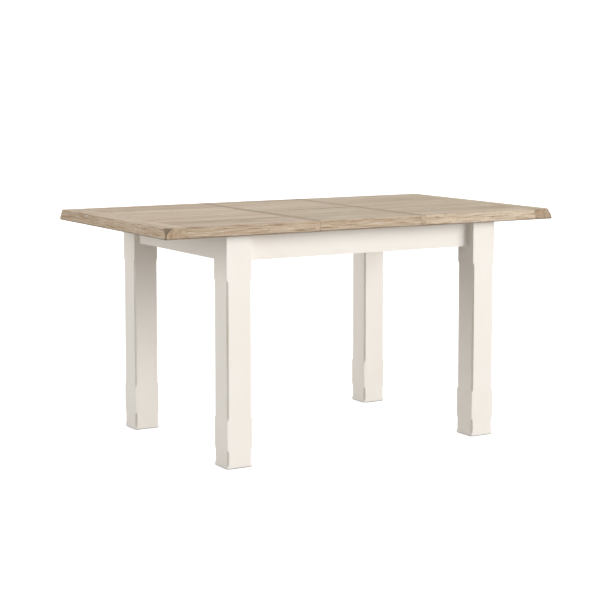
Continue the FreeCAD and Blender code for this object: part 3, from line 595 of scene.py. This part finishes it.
def dress_top():
    """The fields, the leaf's two panels, and the cleats at both ends of each half."""
    dress_boards("top_left_field", "oak_left_field", seed=3.0, warmth=0.80, edge_shade=0.3)
    dress_boards("top_right_field", "oak_right_field", seed=8.0, warmth=0.30, edge_shade=0.0)
    dress_boards("leaf_rear_panel", "oak_leaf_rear", seed=14.0, warmth=0.75, edge_shade=0.3)
    dress_boards("leaf_front_panel", "oak_leaf_front", seed=21.0, warmth=0.35, edge_shade=0.32)
    dress_cleats("left", end_seed=27.0, end_warmth=0.70, inner_seed=39.0, inner_warmth=0.55)
    dress_cleats("right", end_seed=33.0, end_warmth=0.35, inner_seed=45.0, inner_warmth=0.30)


def dress_base():
    """Painted legs and aprons, laid off along their length, and the glides under the feet."""
    dress("leg_", ivory_paint("ivory_legs", "Z"), LEG_EASING)
    along = ivory_paint("ivory_long_aprons", "X")
    across = ivory_paint("ivory_end_aprons", "Y")
    for side in ("front", "rear"):
        dress(f"apron_{side}", along, APRON_EASING)
    for side in ("left", "right"):
        dress(f"apron_{side}", across, APRON_EASING)
    dress("foot_glides", moulded_nylon("grey_nylon"))


def dress_works():
    """The pine, beech and metal parts under the top."""
    dress("corner_block_", bare_pine("pine_blocks", "X"), HIDDEN_EASING)
    dress("cross_rail_", bare_pine("pine_rails", "Y"), HIDDEN_EASING)
    dress("pivot_block_", bare_pine("pine_pivot_blocks", "Y"), HIDDEN_EASING)
    beech = waxed_beech("beech_rails")
    for kind in ("guide_rail", "runner_left", "runner_right"):
        for place in ("front", "rear"):
            dress(f"{kind}_{place}", beech, HIDDEN_EASING)
    zinc = zinc_plate("zinc_plated_steel")
    brass = turned_brass("hinge_brass")
    for node in sorted(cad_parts):
        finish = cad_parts[node].material_slots[0].material.name
        if finish.startswith("zinc_steel"):
            assign(node, zinc)
        elif finish.startswith("brass"):
            assign(node, brass)


# ---------- floor, light and camera ----------

WHITE = (1.0, 1.0, 1.0, 1.0)
FLOOR_DARK = srgb(192, 192, 191)
FLOOR_PALE = srgb(198, 198, 197)
FLOOR_HALF_WIDTH = 40.0
FLOOR_DROP = 0.0003
FLOOR_LIFT = 0.86
# How far the painted contact shadow reaches around the feet.
CONTACT_SHADE_REACH = 0.010
GLIDE_GAP = 0.008


def floor_surface():
    """A pale matt floor, lifted to white where the camera sees it, except close around the feet, where
    occlusion dims the lift into a painted contact shadow.
    """
    settings = {"Roughness": 0.9, "Specular IOR Level": 0.0, "Emission Color": WHITE}
    material, tree, surface = shader("pale_floor", settings)
    speckle = noise(tree, spot_on(tree), scale=3.0)
    colour = mix(tree, ramp(tree, speckle, 0.3, 0.7), FLOOR_DARK, FLOOR_PALE)
    tree.links.new(colour, surface.inputs["Base Color"])
    path = tree.nodes.new("ShaderNodeLightPath").outputs
    contact_shade = tree.nodes.new("ShaderNodeAmbientOcclusion")
    contact_shade.inputs["Distance"].default_value = CONTACT_SHADE_REACH
    # Painted contact shadow: the lift fades where the floor is occluded close around the feet.
    lift = times(tree, times(tree, path["Is Camera Ray"], FLOOR_LIFT), contact_shade.outputs["AO"])
    tree.links.new(lift, surface.inputs["Emission Strength"])
    return material, tree, surface, path


def floor_paint():
    """The floor's surface, but clear from below, and clear to light that leaves the underside
    of a foot, less than the glide's gap away, because that would be black otherwise."""
    material, tree, surface, path = floor_surface()
    below = tree.nodes.new("ShaderNodeNewGeometry").outputs["Backfacing"]
    under_foot = maths(tree, "LESS_THAN", path["Ray Length"], GLIDE_GAP)
    clear = tree.nodes.new("ShaderNodeBsdfTransparent")
    choice = tree.nodes.new("ShaderNodeMixShader")
    tree.links.new(maths(tree, "MAXIMUM", below, under_foot), choice.inputs["Fac"])
    tree.links.new(surface.outputs["BSDF"], choice.inputs[1])
    tree.links.new(clear.outputs["BSDF"], choice.inputs[2])
    output = next(node for node in tree.nodes if node.type == "OUTPUT_MATERIAL")
    tree.links.new(choice.outputs["Shader"], output.inputs["Surface"])
    return material


def lay_floor():
    """One wide square just under the feet."""
    half = FLOOR_HALF_WIDTH
    corners = [(-half, -half, 0.0), (half, -half, 0.0), (half, half, 0.0), (-half, half, 0.0)]
    mesh = bpy.data.meshes.new("floor")
    mesh.from_pydata(corners, [], [(0, 1, 2, 3)])
    floor = bpy.data.objects.new("floor", mesh)
    floor.location.z = -FLOOR_DROP
    bpy.context.scene.collection.objects.link(floor)
    mesh.materials.append(floor_paint())


def direction(azimuth, elevation):
    """The unit vector from the table towards a point seen at these angles, 0 azimuth being the front."""
    turn = math.radians(azimuth)
    rise = math.radians(elevation)
    return Vector((math.sin(turn) * math.cos(rise), -math.cos(turn) * math.cos(rise), math.sin(rise)))


def soft_light(name, azimuth, elevation, strength, spread):
    """A far softbox: even light from one side, as wide as the spread in degrees."""
    light = bpy.data.lights.new(name, "SUN")
    light.energy = strength
    light.angle = math.radians(spread)
    lamp = bpy.data.objects.new(name, light)
    lamp.rotation_mode = "QUATERNION"
    lamp.rotation_quaternion = direction(azimuth, elevation).to_track_quat("Z", "Y")
    bpy.context.scene.collection.objects.link(lamp)


def light_table():
    """A low softbox from the front right, weaker ones from the left and behind, and one overhead."""
    soft_light("key_light", azimuth=44.0, elevation=15.0, strength=2.90, spread=40.0)
    soft_light("side_light", azimuth=-114.0, elevation=8.0, strength=1.85, spread=48.0)
    soft_light("back_light", azimuth=165.0, elevation=42.0, strength=0.9, spread=45.0)
    soft_light("top_light", azimuth=0.0, elevation=86.0, strength=0.62, spread=60.0)


AMBIENT = 0.28
BACKDROP = 1.0


def white_surroundings():
    """Dim even light from all round, and plain white where the camera sees it."""
    world = bpy.data.worlds.new("studio")
    bpy.context.scene.world = world
    world.use_nodes = True
    tree = world.node_tree
    background = tree.nodes["Background"]
    background.inputs["Color"].default_value = WHITE
    seen = tree.nodes.new("ShaderNodeLightPath").outputs["Is Camera Ray"]
    strength = tree.nodes.new("ShaderNodeMapRange")
    tree.links.new(seen, strength.inputs["Value"])
    strength.inputs["To Min"].default_value = AMBIENT
    strength.inputs["To Max"].default_value = BACKDROP
    tree.links.new(strength.outputs["Result"], background.inputs["Strength"])


VIEW_AZIMUTH = -30.6
VIEW_ELEVATION = 6.0
VIEW_DISTANCE = 5.854
VIEW_LENS = 98.2
VIEW_SHIFT = -0.098
AIM_FROM_CENTRE = Vector((0.0135, 0.0240, 0.2562))


def set_camera():
    """A long lens about half a metre above the top, looking down a little and shifted down."""
    low, high = CAD_BOX
    aim = (low + high) / 2 + AIM_FROM_CENTRE
    towards = direction(VIEW_AZIMUTH, VIEW_ELEVATION)
    lens = bpy.data.cameras.new("camera")
    lens.lens = VIEW_LENS
    lens.shift_y = VIEW_SHIFT
    camera = bpy.data.objects.new("camera", lens)
    camera.location = aim + towards * VIEW_DISTANCE
    camera.rotation_mode = "QUATERNION"
    camera.rotation_quaternion = towards.to_track_quat("Z", "Y")
    bpy.context.scene.collection.objects.link(camera)
    bpy.context.scene.camera = camera


dress_top()
dress_base()
dress_works()
lay_floor()
white_surroundings()
light_table()
set_camera()
bpy.context.scene.view_settings.view_transform = "Standard"
